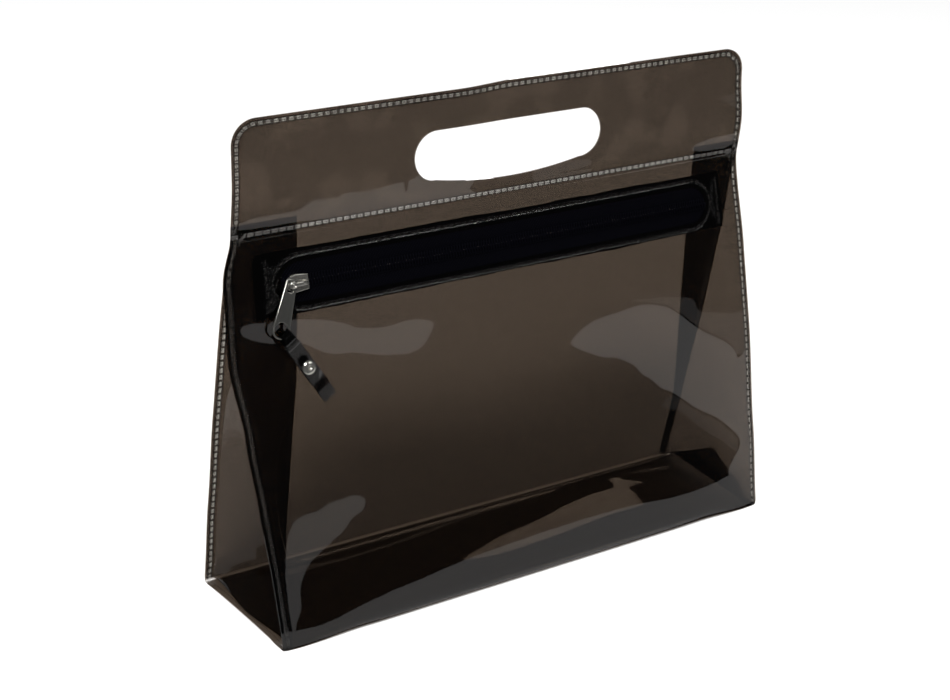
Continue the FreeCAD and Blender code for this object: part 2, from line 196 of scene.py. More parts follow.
def stitched_film(s, tint, ripple):
    """The tint, the height and the stitch cells of sewn film."""
    across = s.math("ABSOLUTE", s.attribute("stitch_across"))
    along = s.math("DIVIDE", s.attribute("stitch_along"), STITCH_PITCH)
    along = s.math("ABSOLUTE", s.math("SUBTRACT", s.math("FRACT", along), 0.5))
    beside = s.step(s.attribute("row_gap"), *ROW_REACH)
    across = s.math("ADD", across, s.math("MULTIPLY", beside, 5.0))
    in_row = s.math("SUBTRACT", 1.0, s.step(across, *CELL_SIDE))
    in_cell = s.math("SUBTRACT", 1.0, s.step(along, *CELL_END))
    cell = s.math("MULTIPLY", in_row, in_cell)
    rim = s.math("SUBTRACT", 1.0, s.step(across, *RIM_SIDE))
    rim = s.math("SUBTRACT", rim, cell, clamp=True)
    shade = s.mix_color(rim, tint, tuple(c * RIM_SHADE for c in tint))
    shade = s.mix_color(cell, shade, STRETCHED_TINT)
    blotch = s.step(s.noise(BLOTCH_SCALE, 5), *BLOTCH_EDGE)
    cling = s.math("MULTIPLY", blotch, s.attribute("cling"))
    gain = s.math("ADD", 1.0, s.math("MULTIPLY", cling, BLOTCH_GAIN))
    brightened = s.add("VectorMath", operation="SCALE", Scale=gain)
    s.feed(brightened.inputs[0], shade)
    channel = s.math("SUBTRACT", 1.0, s.step(across, *CHANNEL_SIDE))
    height = s.math("ADD", s.math("MULTIPLY", channel, -CHANNEL_DEPTH),
                    s.math("MULTIPLY", cell, CELL_RISE))
    height = s.math("ADD", height, s.math("MULTIPLY", ripple, SEWN_RIPPLE))
    return brightened.outputs[0], height, cell


def film_material(name, tint, stitched=True, gloss_gain=1.0, painted_sheen=0.0):
    """Clear tinted film, pulled thin and bright inside each stitch, with white mixed in for
    stress-whitening and painted highlights.
    """
    s = Shader(name)
    clear = s.add("BsdfTransparent", Color=tint)
    gloss = s.add("BsdfGlossy", Roughness=FILM_ROUGHNESS)
    ripple = s.noise(RIPPLE_SCALE, 1.5)
    height = s.math("MULTIPLY", ripple, RIPPLE)
    if stitched:
        shade, height, cell = stitched_film(s, tint, ripple)
        s.feed(clear.inputs["Color"], shade)
    s.feed(gloss.inputs["Normal"], s.bump(height, 1.0, 0.001))
    fresnel = s.add("Fresnel", IOR=FILM_IOR).outputs[0]
    outside = s.math("SUBTRACT", 1.0, s.add("NewGeometry").outputs["Backfacing"])
    share = s.math("MULTIPLY", fresnel, s.math("MULTIPLY", outside, gloss_gain), clamp=True)
    look = s.mix_looks(share, clear.outputs[0], gloss.outputs[0])
    if stitched:
        # White in the stitch cells: partly real stress-whitening, partly painted glint.
        whitening_and_painted_light = s.math("MULTIPLY", cell, s.attribute("shine"))
        # Adds the painted highlight along the back crease.
        whitening_and_painted_light = s.math("ADD", whitening_and_painted_light, s.attribute("painted_crease_highlight"), clamp=True)
    # Painted sheen on the strap, standing in for reflections.
    elif painted_sheen:
        whitening_and_painted_light = s.math("MULTIPLY", s.attribute("painted_sheen"), painted_sheen)
    else:
        return s.finish(look)
    # Diffuse white for the whitening and for the painted highlights and sheen.
    white = s.add("BsdfDiffuse", Color=STRESS_WHITE_AND_PAINTED_LIGHT).outputs[0]
    return s.finish(s.mix_looks(whitening_and_painted_light, look, white))


film_look = film_material("smoke_film", TINT)
rim_look = film_material("smoke_film_rim", (0.82, 0.79, 0.76), stitched=False)


# --- shape of the wrapped sheet ---------------------------------------------
HANDLE_LENGTH = TOP_Z - SEAM_Z
FRONT_FOLD = 5.5           # radius of the soft front fold
BACK_FOLD = 1.4            # radius of the sharp back fold
SEAM_BEND = 7.0            # radius of the walls' bend at the cross seam
BEND_STEPS = 12
LAYER_Y = 0.28             # middle of each handle layer from the bag's middle


def smooth(value, low, high):
    """0 below low, 1 above high, smooth between."""
    t = max(0.0, min(1.0, (value - low) / (high - low)))
    return t * t * (3 - 2 * t)


def wave(x, y, scale, seed):
    """Smooth noise from about -1 to 1."""
    return noise.noise(Vector((x / scale, y / scale, seed)))


def rounded_corner(before, corner, after, radius):
    """Points of the arc that rounds off a corner."""
    before, after = (before - corner).normalized(), (after - corner).normalized()
    half = before.angle(after) / 2
    reach = radius / math.tan(half)
    centre = corner + (before + after).normalized() * radius / math.sin(half)
    start, end = corner + before * reach - centre, corner + after * reach - centre
    first, last = math.atan2(start.y, start.x), math.atan2(end.y, end.x)
    turn = (last - first + math.pi) % (2 * math.pi) - math.pi
    angles = [first + turn * k / BEND_STEPS for k in range(BEND_STEPS + 1)]
    return [centre + radius * Vector((math.cos(a), math.sin(a))) for a in angles]


class Profile:
    """Centre line of the sheet in YZ, by distance along the film."""

    def __init__(self):
        corners = [Vector(place) for place in (
            (-LAYER_Y, TOP_Z), (-LAYER_Y, SEAM_Z), (-HALF_D, FILM / 2),
            (HALF_D, FILM / 2), (LAYER_Y, SEAM_Z), (LAYER_Y, TOP_Z))]
        self.points, bends = corners[:1], []
        for k, radius in enumerate((SEAM_BEND, FRONT_FOLD, BACK_FOLD, SEAM_BEND)):
            bends.append((len(self.points), len(self.points) + BEND_STEPS))
            self.points += rounded_corner(*corners[k:k + 3], radius)
        self.points += corners[-1:]
        self.at = [0.0]
        for a, b in zip(self.points, self.points[1:]):
            self.at.append(self.at[-1] + (b - a).length)
        self.length = self.at[-1]
        self.front_bend, self.back_bend = bends[1:3]
        self.front_fold = [self.at[k] for k in self.front_bend]
        self.back_fold = [self.at[k] for k in self.back_bend]

    def creased(self, s, place, sharpness):
        """The same point where the soft front fold is pinched to a crease."""
        start, end = self.front_fold
        t = (s - start) / (end - start)
        if not 0 < t < 1:
            return place
        before, after = (self.points[k] for k in self.front_bend)
        corner = Vector((-HALF_D, FILM / 2))
        a, b = (before, corner) if t < 0.5 else (corner, after)
        return place.lerp(a.lerp(b, (2 * t) % 1), sharpness)

    def place(self, s):
        """Point and outward normal at a distance along the film."""
        s = max(0.0, min(self.length, s))
        k = 1
        while k < len(self.at) - 1 and self.at[k] < s:
            k += 1
        a, b = self.points[k - 1], self.points[k]
        t = (s - self.at[k - 1]) / (self.at[k] - self.at[k - 1])
        along = (b - a).normalized()
        return a.lerp(b, t), Vector((along.y, -along.x))

    def front_at(self, z):
        """Distance along the film of a height on the front wall."""
        return self._find(z, 0, self.front_bend[1])

    def back_at(self, z):
        """The same on the back wall."""
        return self._find(z, self.back_bend[0], len(self.at) - 1)

    def _find(self, z, low, high):
        """Distance along the film where a run of points reaches a height."""
        for k in range(low, high):
            z0, z1 = self.points[k].y, self.points[k + 1].y
            if (z0 - z) * (z1 - z) <= 0 and z0 != z1:
                t = (z - z0) / (z1 - z0)
                return self.at[k] + t * (self.at[k + 1] - self.at[k])
        nearest = min((low, high), key=lambda k: abs(self.points[k].y - z))
        return self.at[nearest]


profile = Profile()


def ease(value, table):
    """Smooth curve through (value, result) pairs."""
    for (a, low), (b, high) in zip(table, table[1:]):
        if value <= b:
            return low + (high - low) * smooth(value, a, b)
    return table[-1][1]


# How far the tucked gussets push the walls' upright edges outward, by height.
LEFT_PUSH = [(0, 2.0), (45, 3.2), (90, 4.2), (130, 4.4), (160, 4.0), (175, 2.2), (200, 1.3)]
RIGHT_PUSH = [(0, -1.2), (40, 0.6), (90, 2.4), (130, 2.2), (165, 0.8), (190, 2.6), (215, 0.3)]
# How much further the front wall's left edge stands out, by height.
LEFT_FRONT_PUSH = [(30, 0.0), (61, 1.4), (91, 2.8), (124, 6.0), (154, 4.4), (175, 0.2)]
FRONT_PUSH_REACH = 20
PUSH_REACH = 30            # how far in from the side the push is felt
# How far the front wall's foot bulges forward in the middle and at its two ends.
FOOT_MIDDLE = 5.0
FOOT_EASE = 0.012          # how much less per millimetre toward the right
FOOT_LEFT = (85, 50, 2.6)  # place where the end begins, its length and its drop
FOOT_RIGHT = (75, 60, 3.2)
# Waves in the film, as (height, length).
LONG_WALL_WAVE, SHORT_WALL_WAVE = (0.35, 150), (0.02, 30)
LONG_HANDLE_WAVE, SHORT_HANDLE_WAVE = (0.4, 150), (0.02, 40)
# The base arches up, and is drawn up into a tent beside the right gusset.
BASE_ARCH, BASE_RIPPLE = 1.6, 0.12
PINCH_MIDDLE, PINCH_ENDS = 0.15, 0.8     # sharpness of the front fold, and what its ends add
TENT_HEIGHT, TENT_START = 17.0, 88
# The handle leans forward just above its cross seam, and its right corner curls.
LEAN, LEAN_HEIGHT = 0.05, 16.0
CORNER_CURL, CURL_X, CURL_Z = 0.001, 95, 205
TOP_RISE = 1.2             # the top edge's right part stands a little higher


def side_bulge(x, z):
    """How far a gusset pushes a point of either wall sideways."""
    push = ease(z, LEFT_PUSH if x < 0 else RIGHT_PUSH)
    return math.copysign(1, x) * push * smooth(abs(x), HALF_W - PUSH_REACH, HALF_W)


def front_bulge(x, z):
    """Extra sideways push of the front wall's left edge."""
    return -ease(z, LEFT_FRONT_PUSH) * smooth(-x, HALF_W - FRONT_PUSH_REACH, HALF_W)


def foot_bulge(x, z):
    """How far the front wall stands forward, least at the seam."""
    bulge = FOOT_MIDDLE - FOOT_EASE * max(0.0, x + FOOT_LEFT[0])
    for out, (start, length, drop) in ((-x, FOOT_LEFT), (x, FOOT_RIGHT)):
        bulge -= drop * (max(0.0, out - start) / length) ** 2
    return bulge * max(0.0, 1 - z / SEAM_Z)


def two_waves(x, z, long_wave, short_wave, seeds):
    """A long swell with a short ripple on it."""
    return sum(height * wave(x, z, length, seed)
               for (height, length), seed in zip((long_wave, short_wave), seeds))


def wall_lift(x, z, side):
    """How far a wall's film stands off its flat plane."""
    seeds = (3.1, 7.1) if side < 0 else (12.4, 16.4)
    lift = two_waves(x, z, LONG_WALL_WAVE, SHORT_WALL_WAVE, seeds)
    return lift * smooth(z, 0, 60) * smooth(SEAM_Z - z, 0, 30)


def base_lift(x, y):
    """The base arches up a little and ripples along its length."""
    arch = 1 - (y / HALF_D) ** 2
    lift = BASE_ARCH * arch * (0.6 + 0.4 * math.cos(2.2 * x / HALF_W + 0.6))
    lift += BASE_RIPPLE * arch * (1 + wave(x / 8, y, 13, 5.2))
    tent = TENT_HEIGHT * max(0.0, 1 - abs(y) / HALF_D) ** 1.05
    lift += tent * max(0.0, (x - TENT_START) / (HALF_W - TENT_START)) ** 1.25
    return lift


def handle_wave(x, z):
    """How far both layers of the handle stand off its flat plane."""
    wavy = two_waves(x, z, LONG_HANDLE_WAVE, SHORT_HANDLE_WAVE, (21.0, 2.0))
    lean = LEAN * min(max(0.0, z - SEAM_Z - 1), LEAN_HEIGHT)
    lean += CORNER_CURL * max(0.0, x - CURL_X) * max(0.0, z - CURL_Z)
    return wavy * smooth(z, SEAM_Z - 4, SEAM_Z + 20) - lean


def sheet_point(x, s):
    """Place a point of the flat sheet on the standing bag."""
    place, normal = profile.place(s)
    pinch = PINCH_MIDDLE + PINCH_ENDS * smooth(abs(x), HALF_W - 40, HALF_W - 3)
    y, z = profile.creased(s, place, pinch)
    base_s = (profile.front_fold[1] + 1.0, profile.back_fold[0] - 1.0)
    if base_s[0] < s < base_s[1]:
        z += base_lift(x, y) * smooth(min(s - base_s[0], base_s[1] - s), 0, 5)
        y -= foot_bulge(x, 0) * smooth(-y, 0, HALF_D - 9)
        return Vector((x + side_bulge(x, 0), y, z))
    side = -1 if s < profile.length / 2 else 1
    lift = wall_lift(x, z, side)
    y, z = y + normal.x * lift, z + normal.y * lift
    y += handle_wave(x, z)
    x_out = x + side_bulge(x, z)
    if side < 0:
        y -= foot_bulge(x, z)
        x_out += front_bulge(x, z)
    z += TOP_RISE * smooth(x, -25, 5) * smooth(z, SEAM_Z + 25, TOP_Z)
    return Vector((x_out, y, z))


# --- outlines on the flat sheet ---------------------------------------------
CORNER_R = 11.0            # of the handle's top corners


def arc_points(centre, radius, start, end, count):
    """Points along an arc, both ends included."""
    steps = [start + (end - start) * k / count for k in range(count + 1)]
    return [(centre[0] + radius * math.cos(a), centre[1] + radius * math.sin(a))
            for a in steps]


def line_points(a, b, spacing=3.0):
    """Points from a to just before b."""
    count = max(1, round(math.dist(a, b) / spacing))
    return [(a[0] + (b[0] - a[0]) * k / count, a[1] + (b[1] - a[1]) * k / count)
            for k in range(count)]


def three_point_arc(a, b, c, count):
    """Points from a to c on the circle through a, b and c."""
    a, b, c = Vector(a), Vector(b), Vector(c)
    d = 2 * (a.x * (b.y - c.y) + b.x * (c.y - a.y) + c.x * (a.y - b.y))
    x = (a.dot(a) * (b.y - c.y) + b.dot(b) * (c.y - a.y) + c.dot(c) * (a.y - b.y)) / d
    y = (a.dot(a) * (c.x - b.x) + b.dot(b) * (a.x - c.x) + c.dot(c) * (b.x - a.x)) / d
    centre = Vector((x, y))
    angles = [math.atan2(*(p - centre).yx) for p in (a, b, c)]
    turn = (angles[2] - angles[0]) % (2 * math.pi)
    if (angles[1] - angles[0]) % (2 * math.pi) > turn:
        turn -= 2 * math.pi
    radius = (a - centre).length
    return arc_points(centre, radius, angles[0], angles[0] + turn, count)


def hand_hole():
    """The hand-hole's outline in X and Z."""
    middle, flat, half = 1.6, 38.5, 50.2
    left, right = middle - flat, middle + flat
    top, side, shoulder, low = 207.7, 197.0, 185.2, 181.7
    outline = line_points((left, top), (right, top))
    outline += three_point_arc((right, top), (middle + half, side),
                               (right, shoulder), 20)[:-1]
    outline += three_point_arc((right, shoulder), (middle, low),
                               (left, shoulder), 26)[:-1]
    outline += three_point_arc((left, shoulder), (middle - half, side),
                               (left, top), 20)[:-1]
    return outline


def slot_outline(left, right, half, count=14):
    """A long slot with round ends, about Y = 0."""
    centre_l, centre_r = left + half, right - half
    quarter = math.pi / 2
    outline = arc_points((centre_r, 0), half, quarter, -quarter, count)[:-1]
    outline += line_points((centre_r, -half), (centre_l, -half))
    outline += arc_points((centre_l, 0), half, -quarter, -3 * quarter, count)[:-1]
    outline += line_points((centre_l, half), (centre_r, half))
    return outline


def outline_area(outline):
    """The area inside a closed outline."""
    return abs(sum(a[0] * b[1] - b[0] * a[1]
                   for a, b in zip(outline, outline[1:] + outline[:1]))) / 2


def sheet_outline(inset=0.0):
    """The sheet's cut shape: across in X, along the film in Y."""
    radius, quarter = CORNER_R - inset, math.pi / 2
    half, low, high = HALF_W - inset, inset, profile.length - inset
    corner = half - radius
    outline = arc_points((corner, low + radius), radius, 0, -quarter, 12)[:-1]
    outline += line_points((corner, low), (-corner, low))
    outline += arc_points((-corner, low + radius), radius, -quarter, -2 * quarter, 12)[:-1]
    outline += line_points((-half, low + radius), (-half, high - radius))
    outline += arc_points((-corner, high - radius), radius, 2 * quarter, quarter, 12)[:-1]
    outline += line_points((-corner, high), (corner, high))
    outline += arc_points((corner, high - radius), radius, quarter, 0, 12)[:-1]
    outline += line_points((half, high - radius), (half, low + radius))
    return outline


ZIP_S = profile.front_at(ZIP_Z)
SEWN_ABOVE = 2.0           # the cross seam's row above the line where the walls meet
SEAM_S = profile.front_at(SEAM_Z + SEWN_ABOVE)
BACK_SEAM_S = profile.back_at(SEAM_Z + SEWN_ABOVE)
WINDOW_STITCH = 2.9        # from the zip's opening to the row round it
TAPE_END_L, TAPE_END_R = -120.5, 121.0
END_ROW = WINDOW_HALF + 3.4
NO_ROW = 9.0               # a distance at which no stitch is drawn


def stitch_lines():
    """Every sewn row on the flat sheet, as (name, points)."""
    window = slot_outline(WINDOW_L - WINDOW_STITCH, WINDOW_R + WINDOW_STITCH,
                          WINDOW_HALF + WINDOW_STITCH)
    outline = sheet_outline(STITCH_IN)
    return {
        "edge": outline + outline[:1],
        "front_cross": [(-HALF_W, SEAM_S), (HALF_W, SEAM_S)],
        "back_cross": [(-HALF_W, BACK_SEAM_S), (HALF_W, BACK_SEAM_S)],
        "window": [(x, ZIP_S - v) for x, v in window + window[:1]],
        "left_end": [(TAPE_END_L, ZIP_S - END_ROW), (TAPE_END_L, ZIP_S + END_ROW)],
        "right_end": [(TAPE_END_R, ZIP_S - END_ROW), (TAPE_END_R, ZIP_S + END_ROW)],
    }


LINES = stitch_lines()
# How strongly the stretched film of each row whitens: partly real whitening, partly painted
# glint, set row by row.
SHINE = {"edge": 0.003, "front_cross": 0.06, "back_cross": 0.01, "window": 0.002,
         "left_end": 0.0015, "right_end": 0.0015}


def stitch_coords(points):
    """For each point: signed distance to the nearest sewn row, distance along it,
    plain distance to it, and how much it whitens, partly as painted glint."""
    flat = np.array([(p[0], p[1]) for p in points])
    best = np.full(len(flat), 1e9)
    across, along, shine = np.full(len(flat), 1e3), np.zeros(len(flat)), np.zeros(len(flat))
    for name, line in LINES.items():
        start = 0.0
        for a, b in zip(line, line[1:]):
            a, b = np.array(a), np.array(b)
            length = math.dist(a, b)
            unit = (b - a) / length
            offset = flat - a
            run = offset @ unit
            side = offset[:, 0] * unit[1] - offset[:, 1] * unit[0]
            over = np.maximum(0, np.maximum(-run, run - length))
            gap = np.hypot(side, over)
            near = gap < best - 1e-6
            best[near] = gap[near]
            across[near] = np.where(over > 0.4, NO_ROW, side)[near]
            along[near] = start + np.clip(run, 0, length)[near]
            shine[near] = SHINE[name]
            start += length
    return across, along, best, shine


def set_attribute(obj, name, values):
    layer = obj.data.attributes.new(name, "FLOAT", "POINT")
    layer.data.foreach_set("value", np.array(values, np.float32))


def set_stitch_attributes(obj, flat_points):
    """Where the stitches, the clinging handle layers and the painted highlight on the back
    crease are.
    """
    across, along, gap, shine = stitch_coords(flat_points)
    place = np.array([p[1] for p in flat_points])
    on_base = (place > profile.front_fold[1]) & (place < profile.back_fold[0])
    across[on_base] = NO_ROW
    depth = np.minimum(place, profile.length - place)
    cling = np.clip((HANDLE_LENGTH - 4 - depth) / 4, 0, 1) * (place > -1)
    # A painted highlight: a thin white line along the back fold's crease.
    crease = sum(profile.back_fold) / 2
    fold = 0.7 * np.clip(1.1 - np.abs(place - crease), 0, 1)
    for name, values in (("stitch_across", across), ("stitch_along", along), ("cling", cling),
                         ("row_gap", gap), ("shine", shine), ("painted_crease_highlight", fold)):
        set_attribute(obj, name, values)


def inside(points, ring):
    """Which points lie inside a closed ring."""
    x, y = points[:, 0], points[:, 1]
    hit = np.zeros(len(points), bool)
    for (x0, y0), (x1, y1) in zip(ring, ring[1:] + ring[:1]):
        if y0 == y1:
            continue
        crosses = (y0 > y) != (y1 > y)
        hit ^= crosses & (x < x0 + (y - y0) * (x1 - x0) / (y1 - y0))
    return hit


def near_ring(points, ring, gap):
    """Which points lie close to one of a ring's own."""
    close = np.zeros(len(points), bool)
    for p in ring:
        close |= (np.abs(points - np.array(p)) ** 2).sum(1) < gap * gap
    return close


def fill(outline, holes, extra=()):
    """Points and triangles inside an outline and outside its holes."""
    rings = [outline] + holes
    points = [Vector(p) for ring in rings for p in ring] + [Vector(p) for p in extra]
    edges, start = [], 0
    for ring in rings:
        count = len(ring)
        edges += [(start + k, start + (k + 1) % count) for k in range(count)]
        start += count
    verts, _, faces, *_ = delaunay_2d_cdt(points, edges, [], 0, 1e-5)
    flat = np.array([tuple(v) for v in verts])
    middles = np.array([flat[list(f)].mean(0) for f in faces])
    good = inside(middles, outline)
    for hole in holes:
        good &= ~inside(middles, hole)
    return flat, [tuple(f) for f, ok in zip(faces, good) if ok]


def cut_sheet(outline, holes, rows, columns):
    """Triangles of a flat sheet with holes, on a grid of rows and columns."""
    rings = [outline] + holes
    grid = np.array([(x, y) for y in rows for x in columns])
    keep = inside(grid, outline)
    for ring in rings:
        keep &= ~near_ring(grid, ring, 1.1)
    for hole in holes:
        keep &= ~inside(grid, hole)
    return fill(outline, holes, grid[keep].tolist())


def thicken(obj, thickness):
    """Give a sheet its thickness, half to each side."""
    film = obj.modifiers.new("film", "SOLIDIFY")
    film.thickness = thickness * MM
    film.offset = 0.0


def crisp(obj, rim):
    """Keep the cut rims of a film sheet sharp, in their own look."""
    obj.data.materials.append(rim)
    obj.modifiers["film"].material_offset_rim = 1
    split = obj.modifiers.new("cut_rim", "EDGE_SPLIT")
    split.split_angle = math.radians(35)


def film_piece(name, points, faces, flat, *nodes):
    """A sewn piece of the tinted film, which stands for some CAD nodes."""
    obj = mesh_object(name, points, faces)
    set_stitch_attributes(obj, flat)
    thicken(obj, FILM)
    obj.data.materials.append(film_look)
    crisp(obj, rim_look)
    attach(obj, "bag")
    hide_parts(*nodes)
    return obj


GRID, WALL_GRID, BEND_GRID = 3, 2.6, 0.8    # mesh spacing across, along, and at bends


def main_sheet():
    """The wrapped sheet: front, base, back and both layers of the handle."""
    hole = hand_hole()
    front_hole = [(x, TOP_Z - z) for x, z in hole]
    back_hole = [(x, profile.length - (TOP_Z - z)) for x, z in hole]
    window = [(x, ZIP_S - v) for x, v in
              slot_outline(WINDOW_L, WINDOW_R, WINDOW_HALF)]
    columns = [-HALF_W + 1.3, -HALF_W + 3.4]
    columns += [-HALF_W + 6 + GRID * k for k in range(int((2 * HALF_W - 10) / GRID))]
    columns += [HALF_W - 3.4, HALF_W - 1.3]
    rows, s = [], 1.5
    while s < profile.length - 1:
        rows.append(s)
        near_bend = min(abs(s - f) for f in profile.at) < 1.5
        s += BEND_GRID if near_bend else WALL_GRID
    flat, faces = cut_sheet(sheet_outline(), [front_hole, back_hole, window],
                            rows, columns)
    sheet = film_piece("main_sheet", [sheet_point(*p) for p in flat], faces, flat,
                       "front_panel", "base_panel", "back_panel")
    cut = outline_area(sheet_outline()) - 2 * outline_area(hole) - outline_area(window)


main_sheet()


# --- gussets ----------------------------------------------------------------
GUSSET_TOP = node_box("left_gusset_front")[1][2]
GUSSET_MARGIN = 4.0        # the strip's sewn edge, flat against the wall
GUSSET_CLEAR = 0.12        # between the strip and the wall
# Inward distance and height of the crease, from the base's end upward.
CREASES = {
    "left": [(0.3, 0.9), (3.5, 6.0), (9.0, 14.6), (15.5, 20.0), (20.0, 30.0),
             (21.5, 42.0), (23.0, 58.0), (25.2, 80.0), (27.8, 106.0),
             (29.0, 140.0), (29.3, 175.0), (29.3, GUSSET_TOP)],
    "right": [(-0.5, 17.0), (10.0, 18.3), (20.0, 19.8), (28.0, 21.5),
              (30.0, 27.0), (28.9, 45.0), (28.7, 66.0), (28.5, 90.0),
              (28.2, 120.0), (27.4, 150.0), (26.4, 175.0), (26.2, GUSSET_TOP)],
}
FACET_STEPS = {"left": 2, "right": 3}    # crease points below the upright part
FOOT_EDGE, FACET_RISE = 1.2, 2.0         # the sewn edge's start, and its rise over them
FACET_TOP = FOOT_EDGE + FACET_RISE
CREASE_BEND = 1.3          # the film turns round the crease within this distance
UNSEWN = (0.0, -50.0)      # a place far from every row on the flat sheet
SEWN_EDGE = (0.0, 1.2, STITCH_IN, 3.3, GUSSET_MARGIN)
HALF_STEPS, CREASE_STEPS = 9, 6


def gusset_rows(side):
    """Edge height and crease point of each row, from the foot upward."""
    points, facets = CREASES[side], FACET_STEPS[side]
    rows = []
    for k, (a, b) in enumerate(zip(points, points[1:])):
        steps = max(2, round(math.dist(a, b) / 3))
        for j in range(steps):
            t = j / steps
            crease = (a[0] + (b[0] - a[0]) * t, a[1] + (b[1] - a[1]) * t)
            rows.append((k + t, crease))
    rows.append((len(points) - 1.0, points[-1]))
    knee = points[facets][1]
    result = []
    for step, (deep, z) in rows:
        if step <= facets:
            edge = FOOT_EDGE + FACET_RISE * step / facets
        else:
            share = (z - knee) / (GUSSET_TOP - knee)
            edge = FACET_TOP + (GUSSET_TOP - FACET_TOP) * share
        result.append((edge, deep, z))
    return result


def gusset_edge(sign, inward, z, wall):
    """A point on the inner face of a wall, in from the bag's side."""
    s = profile.front_at(z) if wall < 0 else profile.back_at(z)
    x = sign * (HALF_W - inward)
    point = sheet_point(x, s)
    pressed = smooth(z, SEAM_Z - 2, SEAM_Z + 4)
    point.y -= wall * (FILM + GUSSET_CLEAR) * (1 - 0.45 * pressed)
    return point, (x, s)


def gusset_half(sign, wall, edge_z, crease):
    """From a wall's sewn edge to the crease: points, and their places on the flat sheet."""
    edge = [gusset_edge(sign, inward, edge_z, wall) for inward in SEWN_EDGE]
    points, flat = [p for p, _ in edge], [f for _, f in edge]
    start = points[-1]
    reach = crease - start
    tangent = (start - points[-2]).normalized() * min(3.0, reach.length * 0.2)
    end = crease - reach.normalized() * CREASE_BEND
    a, b, c, d = start, start + tangent, start.lerp(end, 0.66), end
    for k in range(1, HALF_STEPS + 1):
        t = k / HALF_STEPS
        points.append(a * (1 - t) ** 3 + b * 3 * t * (1 - t) ** 2
                      + c * 3 * t * t * (1 - t) + d * t ** 3)
        flat.append(UNSEWN)
    return points, flat


def gusset(side):
    """A strip sewn to both walls and creased inward along its middle."""
    sign = -1 if side == "left" else 1
    points, flat = [], []
    rows = gusset_rows(side)
    for edge_z, deep, crease_z in rows:
        crease = Vector((sign * (HALF_W - deep), 0, crease_z))
        crease.y = handle_wave(crease.x, crease_z)
        front, front_flat = gusset_half(sign, -1, edge_z, crease)
        back, back_flat = gusset_half(sign, 1, edge_z, crease)
        bend = [front[-1] * (1 - t) ** 2 + crease * 2 * t * (1 - t) + back[-1] * t * t
                for t in (k / CREASE_STEPS for k in range(1, CREASE_STEPS))]
        row = front + bend + back[::-1]
        points += row
        flat += front_flat + [UNSEWN] * len(bend) + back_flat[::-1]
    faces = grid_faces(len(rows), len(row))
    if sign > 0:
        faces = [face[::-1] for face in faces]
    strip = film_piece(side + "_gusset", points, faces, flat,
                       side + "_gusset_front", side + "_gusset_back")


gusset("left")
gusset("right")


# --- small shapes -----------------------------------------------------------
class Pile:
    """Gathers many small shapes into one mesh."""

    def __init__(self):
        self.points, self.faces = [], []

    def add(self, points, faces):
        start = len(self.points)
        self.points += points
        self.faces += [tuple(start + i for i in face) for face in faces]

    def tube(self, path, radius, sides=6, taper=False):
        """A round rod along a path, closed at both ends."""
        rings, up = [], Vector((0.31, 0.17, 0.93)).normalized()
        last = len(path) - 1
        for k, here in enumerate(path):
            along = (path[min(k + 1, last)] - path[max(k - 1, 0)]).normalized()
            across = along.cross(up).normalized()
            up = across.cross(along)
            size = radius * (0.35 if taper and k in (0, last) else 1.0)
            for j in range(sides):
                a = 2 * math.pi * j / sides
                rings.append(here + (across * math.cos(a) + up * math.sin(a)) * size)
        faces = grid_faces(len(path), sides, closed=True)
        faces.append(tuple(reversed(range(sides))))
        faces.append(tuple(last * sides + j for j in range(sides)))
        self.add(rings, faces)

    def spin(self, outline, centre=(0, 0), sides=40):
        """Turn an outline of (radius, height) about the third axis."""
        points, count = [], len(outline)
        for j in range(sides):
            a = 2 * math.pi * j / sides
            points += [Vector((centre[0] + r * math.cos(a), centre[1] + r * math.sin(a), h))
                       for r, h in outline]
        faces = [(j * count + k, (j + 1) % sides * count + k,
                  (j + 1) % sides * count + k + 1, j * count + k + 1)
                 for j in range(sides) for k in range(count - 1)]
        self.add(points, faces)

    def build(self, name, material, body):
        """Make the mesh and set it on a body."""
        obj = mesh_object(name, self.points, self.faces)
        obj.data.materials.append(material)
        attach(obj, body)
        return obj


def plate(name, outline, holes, low, high, material, bevel=0.0):
    """A flat plate cut to an outline, standing between two heights."""
    flat, faces = fill(outline, holes)
    obj = mesh_object(name, [(x, y, (low + high) / 2) for x, y in flat], faces)
    obj.data.materials.append(material)
    thicken(obj, high - low)
    if bevel:
        edge = obj.modifiers.new("edges", "BEVEL")
        edge.width = bevel * MM
        edge.segments = 3
        edge.limit_method = "ANGLE"
        edge.angle_limit = math.radians(50)
    return obj


# --- more materials ---------------------------------------------------------
TAPE_DARK, TAPE_RIB_PAINTED_HIGHLIGHT = (0.0001, 0.0001, 0.0007), (0.0024, 0.0026, 0.0044)
RIB_PITCH, RIB_SLANT, WEFT_PITCH, WEFT_SHARE = 1.5, 0.9, 0.8, 0.4


def tape_material():
    """Woven polyester: fine diagonal ribs in near-black navy, their crests painted lighter as
    a highlight.
    """
    s = Shader("zip_tape_weave")
    across, up = s.attribute("tape_across"), s.attribute("tape_up")
    diagonal = s.math("SUBTRACT", across, s.math("MULTIPLY", up, RIB_SLANT))
    rib = s.math("SINE", s.math("MULTIPLY", diagonal, 2 * math.pi / RIB_PITCH))
    weft = s.math("SINE", s.math("MULTIPLY", up, 2 * math.pi / WEFT_PITCH))
    height = s.math("ADD", rib, s.math("MULTIPLY", weft, WEFT_SHARE))
    # Rib crests take the lighter colour: a painted highlight on the weave.
    color = s.mix_color(s.step(height, 0.5, 1.3), TAPE_DARK, TAPE_RIB_PAINTED_HIGHLIGHT)
    shade = s.add("BsdfPrincipled", Base_Color=color, Roughness=0.75,
                  Specular_IOR_Level=0.02, Normal=s.bump(height, 0.5, 0.00008))
    return s.finish(shade.outputs[0])


